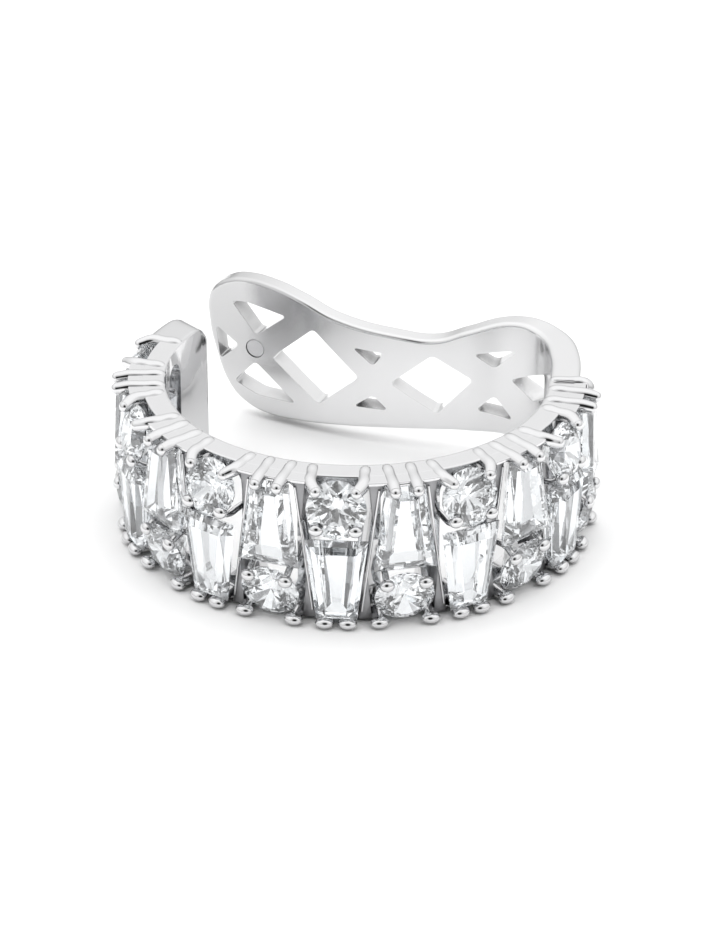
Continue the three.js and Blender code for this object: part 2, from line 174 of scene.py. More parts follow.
def sliceAlong(piece, spacing):
    # cuts across a straight blank, so that it can be bent
    runs = [vertex.co.x for vertex in piece.data.vertices]
    cuts = math.ceil((max(runs) - min(runs)) / spacing)
    pick(piece)
    bpy.ops.object.mode_set(mode="EDIT")
    for cut in range(1, cuts):
        place = min(runs) + (max(runs) - min(runs)) * cut / cuts
        bpy.ops.mesh.select_all(action="SELECT")
        bpy.ops.mesh.bisect(plane_co=(place, 0, 0), plane_no=(1, 0, 0))
    bpy.ops.object.mode_set(mode="OBJECT")


# Curves that straight blanks are bent along

curveSteps = 24  # between two knots


def layCurve(name, places):
    clearSelection()
    bpy.ops.curve.primitive_bezier_curve_add(location=(0, 0, 0))
    curve = bpy.context.object
    curve.name = name
    knots = curve.data.splines[0].bezier_points
    knots.add(len(places) - 2)
    for knot, place in zip(knots, places):
        knot.co = place
        knot.handle_left_type = "AUTO"
        knot.handle_right_type = "AUTO"
    curve.data.dimensions = "2D"
    curve.data.resolution_u = curveSteps
    bpy.context.view_layer.update()
    return curve


def runsOf(curve):
    # length of the curve up to each of its knots
    knots = curve.data.splines[0].bezier_points
    runs = [0.0]
    for before, after in zip(knots[:-1], knots[1:]):
        line = geometry.interpolate_bezier(
            before.co, before.handle_right, after.handle_left, after.co, curveSteps
        )
        steps = zip(line[:-1], line[1:])
        runs.append(runs[-1] + sum((b - a).length for a, b in steps))
    return runs


def bendAlong(piece, curve):
    applyModifier(piece, "CURVE", object=curve, deform_axis="POS_X")


def ringPlace(angle):
    turn = math.radians(angle)
    across = cuff["hollowWidth"] / 2
    back = cuff["hollowDepth"] / 2
    place = Vector((across * math.sin(turn), -back * math.cos(turn), 0))
    heading = math.atan2(back * math.sin(turn), across * math.cos(turn))
    return place, heading


ringStart = -140  # degrees
ringStep = 8
ringEnd = 100
ringKnots = range(ringStart, ringEnd + 1, ringStep)
ringCurve = layCurve("ringCurve", [ringPlace(angle)[0] for angle in ringKnots])
ringRuns = runsOf(ringCurve)


def ringRun(angle):
    # length along the ring's curve at an angle
    knot = int((angle - ringStart) // ringStep)
    share = (angle - ringKnots[knot]) / ringStep
    return ringRuns[knot] + share * (ringRuns[knot + 1] - ringRuns[knot])


def fromEdge(depth, edge):
    # height at a depth below the ring's top edge, or above its foot where edge is -1
    return cuff["height"] - depth if edge > 0 else depth


# Materials

def nodeOf(tree, kind, **settings):
    node = tree.nodes.new(kind)
    for key, value in settings.items():
        setattr(node, key, value)
    return node


def newMaterial(name):
    material = bpy.data.materials.new(name)
    material.use_nodes = True
    return material, material.node_tree, material.node_tree.nodes["Principled BSDF"]


metalLook = {
    "colour": (0.735, 0.735, 0.742, 1),
    "speckle": 0.96,  # share of the colour in the marks
    "roughLow": 0.04,
    "roughHigh": 0.12,
    "grain": 2500,  # polishing marks per metre
    "bump": 0.04,
    "bumpDepth": 0.00002,
    "corner": 0.0004,  # reach of the painted shade in corners, holes and gaps
    "paintedShadeShare": 0.4,  # share of the colour that is left under that painted shade
    "deepBelow": 0.1,  # open share at which the painted shade is darkest
    "clearAbove": 0.75,  # and above which no shade is painted
    "freeEndShade": 1.0,  # share of the colour that is left at the plate's free end, a painted shade for the dark things it reflects
    "freeEndShadeFrom": -0.0005,  # along the cuff's width
    "freeEndShadeTo": -0.0045,
}


def polishedMetal(name, look):
    material, tree, shader = newMaterial(name)
    place = nodeOf(tree, "ShaderNodeTexCoord")
    grain = nodeOf(tree, "ShaderNodeTexNoise")
    grain.inputs["Scale"].default_value = look["grain"]
    grain.inputs["Detail"].default_value = 4
    roughness = nodeOf(tree, "ShaderNodeMapRange")
    roughness.inputs["To Min"].default_value = look["roughLow"]
    roughness.inputs["To Max"].default_value = look["roughHigh"]
    tint = nodeOf(tree, "ShaderNodeValToRGB")
    tint.color_ramp.elements[0].color = [look["speckle"] * c for c in look["colour"][:3]] + [1]
    tint.color_ramp.elements[1].color = look["colour"]
    # painted shade: ambient occlusion darkens the colour in corners, holes and gaps
    corners = nodeOf(tree, "ShaderNodeAmbientOcclusion", samples=4)
    corners.inputs["Distance"].default_value = look["corner"]
    depth = nodeOf(tree, "ShaderNodeMapRange")
    depth.inputs["From Min"].default_value = look["deepBelow"]
    depth.inputs["From Max"].default_value = look["clearAbove"]
    depth.inputs["To Min"].default_value = look["paintedShadeShare"]
    cornerShaded = nodeOf(tree, "ShaderNodeMix", data_type="RGBA", blend_type="MULTIPLY")
    cornerShaded.inputs["Factor"].default_value = 1
    tree.links.new(corners.outputs["AO"], depth.inputs["Value"])
    tree.links.new(tint.outputs["Color"], cornerShaded.inputs["A"])
    tree.links.new(depth.outputs["Result"], cornerShaded.inputs["B"])
    bump = nodeOf(tree, "ShaderNodeBump")
    bump.inputs["Strength"].default_value = look["bump"]
    bump.inputs["Distance"].default_value = look["bumpDepth"]
    tree.links.new(place.outputs["Object"], grain.inputs["Vector"])
    tree.links.new(grain.outputs["Fac"], roughness.inputs["Value"])
    tree.links.new(grain.outputs["Fac"], tint.inputs["Fac"])
    tree.links.new(grain.outputs["Fac"], bump.inputs["Height"])
    tree.links.new(roughness.outputs["Result"], shader.inputs["Roughness"])
    # painted shade: the colour darkens along X towards the plate's free end
    parts = nodeOf(tree, "ShaderNodeSeparateXYZ")
    freeEndShading = nodeOf(tree, "ShaderNodeMapRange", interpolation_type="SMOOTHSTEP")
    freeEndShading.inputs["From Min"].default_value = look["freeEndShadeFrom"]
    freeEndShading.inputs["From Max"].default_value = look["freeEndShadeTo"]
    freeEndShading.inputs["To Min"].default_value = 1
    freeEndShading.inputs["To Max"].default_value = look["freeEndShade"]
    freeEndShaded = nodeOf(tree, "ShaderNodeMix", data_type="RGBA", blend_type="MULTIPLY")
    freeEndShaded.inputs["Factor"].default_value = 1
    tree.links.new(place.outputs["Object"], parts.inputs["Vector"])
    tree.links.new(parts.outputs["X"], freeEndShading.inputs["Value"])
    tree.links.new(cornerShaded.outputs["Result"], freeEndShaded.inputs["A"])
    tree.links.new(freeEndShading.outputs["Result"], freeEndShaded.inputs["B"])
    tree.links.new(freeEndShaded.outputs["Result"], shader.inputs["Base Color"])
    tree.links.new(bump.outputs["Normal"], shader.inputs["Normal"])
    shader.inputs["Metallic"].default_value = 1
    return material


stoneLook = {
    "pale": (0.98, 0.99, 1.0, 1),
    "cool": (0.9, 0.94, 0.97, 1),
    "bend": 2.15,  # refraction of cubic zirconia
    "cloud": 900,
    "roughness": 0.0,
}


def clearStone(name, look):
    material, tree, shader = newMaterial(name)
    place = nodeOf(tree, "ShaderNodeTexCoord")
    cloud = nodeOf(tree, "ShaderNodeTexNoise")
    cloud.inputs["Scale"].default_value = look["cloud"]
    tint = nodeOf(tree, "ShaderNodeValToRGB")
    tint.color_ramp.elements[0].color = look["cool"]
    tint.color_ramp.elements[1].color = look["pale"]
    tree.links.new(place.outputs["Object"], cloud.inputs["Vector"])
    tree.links.new(cloud.outputs["Fac"], tint.inputs["Fac"])
    tree.links.new(tint.outputs["Color"], shader.inputs["Base Color"])
    shader.inputs["Roughness"].default_value = look["roughness"]
    shader.inputs["IOR"].default_value = look["bend"]
    shader.inputs["Transmission Weight"].default_value = 1
    return material


whiteMetal = polishedMetal("whiteMetal", metalLook)
# a darker copy of the metal, as painted shade on the gallery wall and the end cap
shadedWallMetal = polishedMetal("shadedWallMetal", dict(metalLook, colour=(0.67, 0.67, 0.677, 1)))
# rougher metal for the plate, with deeper painted shade in its holes and painted shade towards
# its free end
plateMetal = polishedMetal("plateMetal", dict(
    metalLook, colour=(0.78, 0.78, 0.785, 1), roughLow=0.14, roughHigh=0.24,
    corner=0.0007, paintedShadeShare=0.3, freeEndShade=0.74,
))
satinMetal = polishedMetal("satinMetal", dict(
    metalLook, colour=(0.66, 0.66, 0.67, 1), roughLow=0.4, roughHigh=0.6, bump=0.2,
))
shadedMetal = polishedMetal("shadedMetal", dict(
    metalLook, colour=(0.36, 0.36, 0.37, 1), roughLow=0.25, roughHigh=0.5,
    bump=0.5, grain=9000,
))
clearGem = clearStone("clearGem", stoneLook)


def finishPiece(piece, material):
    # down to metres, to its place in the row frame
    piece.scale = (workScale, workScale, workScale)
    piece.location = hollowMiddle
    applyPlace(piece)
    piece.data.materials.clear()
    piece.data.materials.append(material)
    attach(piece, "root")
    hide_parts("cuff_frame")
    print("finished", piece.name, len(piece.data.polygons), "faces")


# Gallery wall

capLook = {
    "reach": 1.16,
    "drop": 0.07,
    "skin": 0.012,  # that it stands back from the wall's inner face
    "past": 1.4,  # degrees that it stands past the wall's angle
    "slant": 0.22,  # that its outer side is longer
    "profile": 0.62,  # rounding of its end, seen from inside
    "outerEdge": 0.36,
    "innerEdge": 0.1,
    "slice": 0.1,
}

wallLook = {
    "drop": 0.105,  # from the ring's full height down to the wall's edge
    "edge": 0.05,
    "inset": 0.1,  # that its free end stands back inside the end cap
    "lessRound": 0.05,  # that its end is rounded less than the cap's
    "windowWidth": 0.95,
    "windowMargin": 0.5,
    "windowEdge": 0.04,
    "windowSides": 32,
    "slice": 0.12,
}


def galleryWindow(run):
    # a round-ended opening, as a cylinder whose upper half is moved up
    radius = wallLook["windowWidth"] / 2
    sides = wallLook["windowSides"]
    rise = cuff["height"] - 2 * wallLook["windowMargin"] - 2 * radius
    low = wallLook["windowMargin"] + radius
    clearSelection()
    bpy.ops.mesh.primitive_cylinder_add(
        vertices=sides,
        radius=radius,
        depth=3 * cuff["wall"],
        location=(run, 0, low),
        rotation=(math.pi / 2, math.pi / sides, 0),
    )
    window = bpy.context.object
    applyPlace(window)
    for vertex in window.data.vertices:
        if vertex.co.z > low:
            vertex.co.z += rise
    return window


def galleryWall():
    drop = wallLook["drop"]
    wall = block(
        "gallery_wall",
        (ringRun(capEnd - capLook["past"]) + wallLook["inset"], -cuff["wall"], drop),
        (ringRun(wallEnd), 0, cuff["height"] - drop),
    )
    start = min(vertex.co.x for vertex in wall.data.vertices)
    bevelEdges(
        wall,
        lambda a, b: max(a.x, b.x) < start + near and abs(a.y - b.y) > near,
        capLook["profile"] - wallLook["lessRound"], segments=10,
    )
    bevelEdges(
        wall,
        lambda a, b: abs(a.x - b.x) > longEdge and a.y > -near,
        wallLook["edge"], segments=3,
    )
    windows = []
    for column in range(cuff["columns"]):
        angle = cuff["firstColumn"] + column * cuff["pitch"]
        windows.append(galleryWindow(ringRun(angle)))
    cutAway(wall, joinAll(windows, "windows"))
    bevelSharp(wall, wallLook["windowEdge"])
    sliceAlong(wall, wallLook["slice"])
    bendAlong(wall, ringCurve)
    smoothOver(wall)
    return wall


shelfLook = {
    "reach": 0.62,
    "drop": 0.095,  # from the ring's edge, a little above the wall's own edge
    "depth": 0.3,
    "skin": 0.004,  # that it stands back from the wall's inner face
    "edge": 0.05,
    "topBrimReach": 0.98,  # of the thinner brim between two round stones
    "footBrimReach": 0.8,
    "brimDrop": 0.1,
    "brimDepth": 0.1,
    "brimEdge": 0.03,
    "notch": 0.62,  # half the room left for a round stone
    "notchBack": 0.9,  # share of the shelf's reach where that room ends
}


def shelf(name, low):
    ledge = block(
        name,
        (ringRun(bandStart), -shelfLook["reach"], low),
        (ringRun(bandEnd), -shelfLook["skin"], low + shelfLook["depth"]),
    )
    bevelEdges(ledge, lambda a, b: abs(a.x - b.x) > longEdge, shelfLook["edge"], segments=3)
    sliceAlong(ledge, wallLook["slice"])
    bendAlong(ledge, ringCurve)
    smoothOver(ledge)
    return ledge


def brim(name, edge):
    # thin ledge that fills the room between the ribs, open at the round stones of this edge
    low, high = sorted(
        fromEdge(shelfLook["brimDrop"] + depth, edge) for depth in (0, shelfLook["brimDepth"])
    )
    reach = shelfLook["topBrimReach" if edge > 0 else "footBrimReach"]
    ledge = block(
        name,
        (ringRun(bandStart), -reach, low),
        (ringRun(bandEnd), -cuff["wall"] / 2, high),
    )
    half = shelfLook["notch"]
    back = shelfLook["notchBack"] * shelfLook["reach"]
    notches = []
    for column in range(0 if edge > 0 else 1, cuff["columns"], 2):
        run = ringRun(cuff["firstColumn"] + column * cuff["pitch"])
        notches.append(block(
            "notch",
            (run - half, -reach - cutPast, low - cutPast),
            (run + half, -back, high + cutPast),
        ))
    cutAway(ledge, joinAll(notches, "notches"))
    bevelSharp(ledge, shelfLook["brimEdge"])
    sliceAlong(ledge, wallLook["slice"])
    bendAlong(ledge, ringCurve)
    smoothOver(ledge)
    return ledge


# Plain ends of the band

def endCap():
    start = ringRun(capEnd - capLook["past"])
    end = ringRun(bandStart)
    drop = capLook["drop"]
    cap = block(
        "end_cap",
        (start, -capLook["reach"], drop),
        (end, -capLook["skin"], cuff["height"] - drop),
    )
    reach = capLook["reach"]
    for vertex in cap.data.vertices:
        if vertex.co.x < start + near and vertex.co.y < near - reach:
            vertex.co.x -= capLook["slant"]
    bevelEdges(
        cap,
        lambda a, b: max(a.x, b.x) < start + near and abs(a.y - b.y) > longEdge,
        capLook["profile"], segments=10,
    )
    bevelEdges(
        cap,
        lambda a, b: max(a.y, b.y) < near - reach and min(a.x, b.x) < end - near,
        capLook["outerEdge"], segments=8,
    )
    bevelEdges(
        cap,
        lambda a, b: min(a.y, b.y) > -capLook["skin"] - near and min(a.x, b.x) < end - near,
        capLook["innerEdge"], segments=4,
    )
    sliceAlong(cap, capLook["slice"])
    bendAlong(cap, ringCurve)
    smoothOver(cap)
    return cap


endWallLook = {
    "over": 1.5,  # degrees that it reaches under the last column
    "past": 1,  # and past the gallery wall's end
    "skin": 0.05,
    "edge": 0.04,
}


def endWall():
    drop = wallLook["drop"]
    wall = block(
        "end_wall",
        (ringRun(bandEnd - endWallLook["over"]), -cuff["roundReach"], drop),
        (ringRun(wallEnd + endWallLook["past"]), -endWallLook["skin"], cuff["height"] - drop),
    )
    bevelEdges(wall, lambda a, b: True, endWallLook["edge"], segments=3)
    bendAlong(wall, ringCurve)
    smoothOver(wall)
    return wall


# Setting of one column: round stone above, baguette below, seen from outside

setting = {
    "rib": 0.18,
    "bead": 0.155,
    "roundRib": 0.68,  # from the column's middle
    "narrowRib": 0.3,
    "lean": 0.15,  # that a round stone's prongs lean in at their tips
    "roundDrop": 0.28,  # from the edge down to a prong's tip
    "narrowDrop": 0.24,
    "tipReach": 0.2,  # from a stone's girdle out to the prong's tip
    "tipSize": 0.9,  # share of a rib's radius at its tip and at its root
    "rootReach": 0.05,  # from the hollow to where a rib starts in the ring's edge
    "rootRise": 0.01,
    "proudReach": 0.16,
    "proud": 0.07,  # how far a rib stands out of the ring's edge there
    "middleSink": 0.025,  # from the ring's full height down to a rib's top halfway
    "neckSink": 0.02,  # and before it bends to its tip
    "neckBack": 0.1,  # from there out to a stone's girdle
    "footDrop": 0.17,  # from the ring's foot up to the broad beads there
    "roundFootReach": 0.2,
    "narrowFootReach": 0.13,
    "footNeck": 0.03,  # from a foot rib's end out to its bead
    "footSize": 0.8,
    "footBead": (0.25, 0.19, 0.155),
    "middleBead": 0.51,  # the beads low on a round stone
    "middleHeight": 3.0,
    "middleReach": 1.27,
    "middleSizes": (0.2, 0.16, 0.17),
    "pegSize": 0.5,  # of the beads' pegs, which come out between the two stones
    "pegDrop": 0.22,
    "pegMiddle": 0.5,
    "pegBend": 0.2,  # from the bend to the bead
    "pegPast": 0.08,  # that the peg's end is inside the bead
    "pegTip": 0.05,
}


def addRod(name, spots):
    # a round rod through spots of across, outward, height and radius
    clearSelection()
    bpy.ops.curve.primitive_bezier_curve_add(location=(0, 0, 0))
    rod = bpy.context.object
    knots = rod.data.splines[0].bezier_points
    knots.add(len(spots) - 2)
    for knot, (across, outward, height, radius) in zip(knots, spots):
        knot.co = (across, -outward, height)
        knot.radius = radius
        knot.handle_left_type = "AUTO"
        knot.handle_right_type = "AUTO"
    rod.data.dimensions = "3D"
    rod.data.bevel_depth = 1
    rod.data.bevel_resolution = 5
    rod.data.resolution_u = 5
    rod.data.use_fill_caps = True
    bpy.ops.object.convert(target="MESH")
    rod = bpy.context.object
    rod.name = name
    return rod


def addBead(across, outward, height, sizes):
    clearSelection()
    bpy.ops.mesh.primitive_uv_sphere_add(
        segments=20, ring_count=12, radius=1,
        location=(across, -outward, height), scale=sizes,
    )
    bead = bpy.context.object
    applyPlace(bead)
    return bead


def ribSpots(offset, reach, edge):
    # a ridge that rises out of the ring's edge on its way outwards
    radius = setting["rib"]
    flush = shelfLook["drop"] + radius
    root = fromEdge(flush - setting["rootRise"], edge)
    proud = fromEdge(flush - setting["proud"], edge)
    middle = fromEdge(radius + setting["middleSink"], edge)
    neck = fromEdge(radius + setting["neckSink"], edge)
    return [
        (offset, setting["rootReach"], root, setting["tipSize"] * radius),
        (offset, setting["proudReach"], proud, radius),
        (offset, reach / 2, middle, radius),
        (offset, reach - setting["neckBack"], neck, radius),
    ]


def topRib(offset, tipOffset, drop, reach, edge):
    # hooks over a stone with a round tip
    tip = reach + setting["tipReach"]
    radius = setting["tipSize"] * setting["rib"]
    rod = addRod("rib", ribSpots(offset, reach, edge) + [
        (tipOffset, tip, fromEdge(drop, edge), radius),
    ])
    size = setting["bead"]
    return [rod, addBead(tipOffset, tip, fromEdge(drop, edge), (size, size, size))]


def footRib(offset, reach, past, edge):
    # ends in a broad bead under a stone
    drop = setting["footDrop"]
    neck = reach + past - setting["footNeck"]
    radius = setting["footSize"] * setting["rib"]
    rod = addRod("rib", ribSpots(offset, reach, edge)[:3] + [
        (offset, neck, fromEdge(drop, edge), radius),
    ])
    return [rod, addBead(offset, reach + past, fromEdge(drop, edge), setting["footBead"])]


endRibLook = {
    "angle": 0.6,  # degrees past the last column
    "root": ((0.04, 0.07, 0.6), (0.12, 0.03, 1)),  # outward, sink, share of a rib's radius
    "middleSink": 0.02,
    "topBend": ((-0.1, 0.04), (0.03, 0.2)),  # outward from the end wall's face, and sink
    "waist": (0.05, 0.9),  # outward from there, and share of a rib's radius, halfway down
    "footBend": ((0.03, 0.2), (-0.1, 0.05)),  # outward from there, and rise
    "footEnd": (0.3, 0.03),  # outward from the hollow, and rise
}


def endRib():
    # the last rib, over the top of the end wall and down to its foot
    radius = setting["rib"]
    reach = cuff["roundReach"]
    top = cuff["height"] - radius
    look = endRibLook
    spots = [(0, outward, top - sink, size * radius) for outward, sink, size in look["root"]]
    spots.append((0, reach / 2, top - look["middleSink"], radius))
    spots += [(0, reach + past, top - sink, radius) for past, sink in look["topBend"]]
    past, size = look["waist"]
    spots.append((0, reach + past, cuff["height"] / 2, size * radius))
    spots += [(0, reach + past, radius + rise, radius) for past, rise in look["footBend"]]
    outward, rise = look["footEnd"]
    spots.append((0, outward, radius + rise, radius))
    rod = addRod("end_rib", spots)
    smoothByAngle(rod, roundAngle)
    placeOnRing(rod, bandEnd + look["angle"], False)
    return rod


def middleBead(side):
    across = side * setting["middleBead"]
    height = setting["middleHeight"]
    reach = setting["middleReach"]
    beadBack = reach - setting["middleSizes"][1]
    radius = setting["pegSize"] * setting["rib"]
    low = height - setting["pegDrop"]
    peg = addRod("peg", [
        (across, cuff["wall"] / 2, low, radius),
        (across, setting["pegMiddle"], low, radius),
        (across, beadBack - setting["pegBend"], low, radius),
        (across, beadBack + setting["pegPast"], height - setting["pegTip"], radius),
    ])
    return [peg, addBead(across, reach, height, setting["middleSizes"])]


def columnSetting(name, headDown):
    # a column on its head has the same parts, but its prongs change places
    parts = []
    for side in (-1, 1):
        wide = side * setting["roundRib"]
        wideTip = wide - side * setting["lean"]
        narrow = side * setting["narrowRib"]
        if headDown:
            parts += footRib(wide, cuff["roundEdgeReach"], setting["roundFootReach"], 1)
            parts += topRib(narrow, narrow, setting["narrowDrop"], cuff["baguetteReach"], -1)
        else:
            parts += topRib(wide, wideTip, setting["roundDrop"], cuff["roundEdgeReach"], 1)
            parts += footRib(narrow, cuff["baguetteReach"], setting["narrowFootReach"], -1)
        parts += middleBead(side)
    whole = joinAll(parts, name)
    smoothByAngle(whole, roundAngle)
    return whole


def placeOnRing(piece, angle, headDown):
    place, heading = ringPlace(angle)
    piece.location = place
    piece.rotation_euler = (0, 0, heading)
    if headDown:
        piece.location.z = cuff["height"]
        piece.rotation_euler.y = math.pi
    applyPlace(piece)


dividerLook = {
    "margin": 0.35,
    "thickness": 0.06,
    "reach": 0.92,
    "edge": 0.02,
    "postWide": 0.3,  # of the wedge at a divider's end, towards the round stone
    "postNarrow": 0.06,  # and towards the baguette's narrow end
    "postDepth": 1.4,
    "postReach": 0.86,
    "postSkin": 0.01,  # that it stands back from the shelf
}


def leanOver(piece, side):
    # slants an upright blank like a baguette's side
    for vertex in piece.data.vertices:
        vertex.co.x += side * cuff["taper"] * (vertex.co.z - cuff["height"] / 2)


def divider(name, side):
    # a bar between two columns, its top leaning to a side
    half = dividerLook["thickness"] / 2
    reach = dividerLook["reach"]
    margin = dividerLook["margin"]
    bar = block(
        name,
        (-half, -reach, margin),
        (half, -cuff["wall"] / 2, cuff["height"] - margin),
    )
    bevelEdges(bar, lambda a, b: max(a.y, b.y) < near - reach, dividerLook["edge"], segments=3)
    smoothByAngle(bar, flatAngle)
    leanOver(bar, side)
    return bar


def postPair(name, side):
    # wedges that fill the room beside the round stones, at a divider's top and foot
    half = dividerLook["thickness"] / 2
    posts = []
    for edge in (1, -1):
        outer = fromEdge(shelfLook["drop"] + dividerLook["postSkin"], edge)
        inner = fromEdge(dividerLook["postDepth"], edge)
        ends = sorted((
            -side * edge * dividerLook["postWide"], side * edge * dividerLook["postNarrow"]
        ))
        post = block(
            "post",
            (ends[0], -dividerLook["postReach"], min(outer, inner)),
            (ends[1], -cuff["wall"] / 2, max(outer, inner)),
        )
        for vertex in post.data.vertices:
            if abs(vertex.co.z - inner) < near:
                vertex.co.x *= half / abs(vertex.co.x)
        bevelEdges(post, lambda a, b: True, dividerLook["edge"], segments=2)
        posts.append(post)
    pair = joinAll(posts, name)
    leanOver(pair, side)
    smoothByAngle(pair, flatAngle)
    return pair


# Lattice plate

plateLook = {
    "height": 4.3,
    "thickness": 0.55,
    "rootThickness": 0.82,
    "thinFrom": 0.12,  # shares of the plate's length, from the ring
    "thinOver": 0.22,
    "rim": 0.12,  # rounding of its outer edges
    "holeCorner": 0.13,
    "holeEdge": 0.05,
    "slice": 0.12,
}
discLook = {  # the plain disc in the dimple at the first crossing
    "radius": 0.26,
    "gap": 0.02,
    "sides": 40,
    "dimple": 0.05,
    "sink": 0.04,
    "thickness": 0.04,
    "edge": 0.01,
    "slice": 0.1,
}
# across and back are shares of half the hollow's sizes, low and high of the plate's height
plateStations = [
    (1.0, -0.06, 0.05, 1.0),
    (1.01, 0.25, 0.08, 1.0),
    (0.965, 0.47, 0.13, 1.0),
    (0.84, 0.605, 0.165, 1.0),
    (0.586, 0.685, 0.165, 0.89),
    (0.41, 0.734, 0.145, 0.8),
    (0.234, 0.777, 0.125, 0.8),
    (-0.13, 0.904, 0.075, 0.86),
    (-0.312, 0.99, 0.05, 0.945),
    (-0.488, 1.085, 0.045, 1.0),
    (-0.625, 1.153, 0.11, 1.005),
    (-0.703, 1.191, 0.215, 0.975),
    (-0.771, 1.225, 0.44, 0.91),
    (-0.805, 1.242, 0.64, 0.83),
]
# corners of each hole, as shares of the plate's length from the ring and of its height
plateHoles = [
    ((0.982, 0.63), (0.925, 0.515), (0.972, 0.39)),
    ((0.943, 0.83), (0.91, 0.845), (0.808, 0.8), (0.883, 0.615)),
    ((0.938, 0.25), (0.886, 0.42), (0.785, 0.18), (0.88, 0.18)),
    ((0.845, 0.48), (0.741, 0.755), (0.633, 0.46), (0.729, 0.215)),
    ((0.648, 0.675), (0.575, 0.665), (0.6, 0.565)),
    ((0.645, 0.25), (0.6, 0.35), (0.565, 0.255)),
    ((0.561, 0.455), (0.466, 0.69), (0.372, 0.545), (0.454, 0.27)),
    ((0.372, 0.735), (0.325, 0.65), (0.272, 0.8)),
    ((0.288, 0.585), (0.23, 0.485), (0.178, 0.57), (0.178, 0.75)),
    ((0.365, 0.335), (0.325, 0.45), (0.28, 0.295)),
]
firstCrossing = (0.886, 0.515)


def plateCurve():
    places = []
    for across, back, _, _ in plateStations:
        places.append(
            (across * cuff["hollowWidth"] / 2, back * cuff["hollowDepth"] / 2, 0)
        )
    return layCurve("plateCurve", places)


def plateOutline(runs):
    # a flat outline, foot edge first, then back along the top edge
    height = plateLook["height"]
    foot = [(run, low * height, 0) for run, (_, _, low, _) in zip(runs, plateStations)]
    top = [(run, high * height, 0) for run, (_, _, _, high) in zip(runs, plateStations)]
    outline = layCurve("lattice_plate", foot + top[::-1])
    spline = outline.data.splines[0]
    spline.use_cyclic_u = True
    for knot in (spline.bezier_points[0], spline.bezier_points[-1]):
        knot.handle_left_type = "VECTOR"
        knot.handle_right_type = "VECTOR"
    outline.data.resolution_u = 8
    outline.data.fill_mode = "NONE"
    pick(outline)
    bpy.ops.object.convert(target="MESH")
    return bpy.context.object


def plateHole(corners, length):
    clearSelection()
    bpy.ops.mesh.primitive_circle_add(vertices=len(corners), fill_type="NGON")
    hole = bpy.context.object
    for vertex, (along, height) in zip(hole.data.vertices, corners):
        vertex.co = (along * length, height * plateLook["height"], -cutPast)
    pick(hole)
    bpy.ops.object.mode_set(mode="EDIT")
    bpy.ops.mesh.select_all(action="SELECT")
    bpy.ops.mesh.extrude_region_move(TRANSFORM_OT_translate={"value": (0, 0, 3 * cutPast)})
    bpy.ops.mesh.select_all(action="SELECT")
    bpy.ops.mesh.normals_make_consistent(inside=False)
    bpy.ops.object.mode_set(mode="OBJECT")
    bevelEdges(hole, lambda a, b: abs(a.z - b.z) > longEdge, plateLook["holeCorner"], segments=5)
    return hole


def thicknessAt(share):
    # thick at the ring, thin from a third of the way
    passed = min(max((share - plateLook["thinFrom"]) / plateLook["thinOver"], 0), 1)
    eased = passed * passed * (3 - 2 * passed)
    root = plateLook["rootThickness"]
    return root + (plateLook["thickness"] - root) * eased


def latticePlate(curve):
    runs = runsOf(curve)
    plate = plateOutline(runs)
    depth = plateLook["thickness"]
    pick(plate)
    bpy.ops.object.mode_set(mode="EDIT")
    bpy.ops.mesh.select_all(action="SELECT")
    bpy.ops.mesh.remove_doubles(threshold=near / 10)
    bpy.ops.mesh.edge_face_add()
    bpy.ops.mesh.extrude_region_move(TRANSFORM_OT_translate={"value": (0, 0, depth)})
    bpy.ops.mesh.select_all(action="SELECT")
    bpy.ops.mesh.normals_make_consistent(inside=False)
    bpy.ops.object.mode_set(mode="OBJECT")
    bevelEdges(plate, lambda a, b: abs(a.z - b.z) < near, plateLook["rim"], segments=4)
    holes = [plateHole(corners, runs[-1]) for corners in plateHoles]
    cutAway(plate, joinAll(holes, "holes"))
    along, height = firstCrossing
    clearSelection()
    bpy.ops.mesh.primitive_cylinder_add(
        vertices=discLook["sides"], radius=discLook["radius"] + discLook["gap"],
        depth=2 * discLook["dimple"],
        location=(along * runs[-1], height * plateLook["height"], 0),
    )
    cutAway(plate, bpy.context.object)
    bevelSharp(plate, plateLook["holeEdge"])
    plate.rotation_euler.x = math.pi / 2
    applyPlace(plate)
    sliceAlong(plate, plateLook["slice"])
    for vertex in plate.data.vertices:
        share = vertex.co.x / runs[-1]
        vertex.co.y *= thicknessAt(share) / depth
    bendAlong(plate, curve)
    smoothOver(plate)
    return plate


def crossingDisc(curve):
    runs = runsOf(curve)
    along, height = firstCrossing
    clearSelection()
    bpy.ops.mesh.primitive_cylinder_add(
        vertices=discLook["sides"], radius=discLook["radius"], depth=discLook["thickness"],
        location=(along * runs[-1], -discLook["sink"], height * plateLook["height"]),
        rotation=(math.pi / 2, 0, 0),
    )
    disc = bpy.context.object
    disc.name = "crossing_disc"
    applyPlace(disc)
    bevelEdges(disc, lambda a, b: abs(a.y - b.y) < near, discLook["edge"], segments=2)
    sliceAlong(disc, discLook["slice"])
    bendAlong(disc, curve)
    smoothOver(disc)
    return disc


# Making the metal

finishPiece(galleryWall(), shadedWallMetal)
topShelfLow = cuff["height"] - shelfLook["drop"] - shelfLook["depth"]
finishPiece(shelf("top_shelf", topShelfLow), whiteMetal)
finishPiece(shelf("foot_shelf", shelfLook["drop"]), whiteMetal)
finishPiece(brim("top_brim", 1), whiteMetal)
finishPiece(brim("foot_brim", -1), whiteMetal)
finishPiece(endCap(), shadedWallMetal)
finishPiece(endWall(), whiteMetal)
finishPiece(endRib(), whiteMetal)

columnPatterns = [
    columnSetting("uprightPattern", False),
    columnSetting("headDownPattern", True),
]
for column in range(cuff["columns"]):
    angle = cuff["firstColumn"] + column * cuff["pitch"]
    piece = copyOf(columnPatterns[column % 2], f"stone_setting_{column + 1:02d}")
    placeOnRing(piece, angle, column % 2 == 1)
    finishPiece(piece, whiteMetal)
for pattern in columnPatterns:
    bpy.data.objects.remove(pattern)

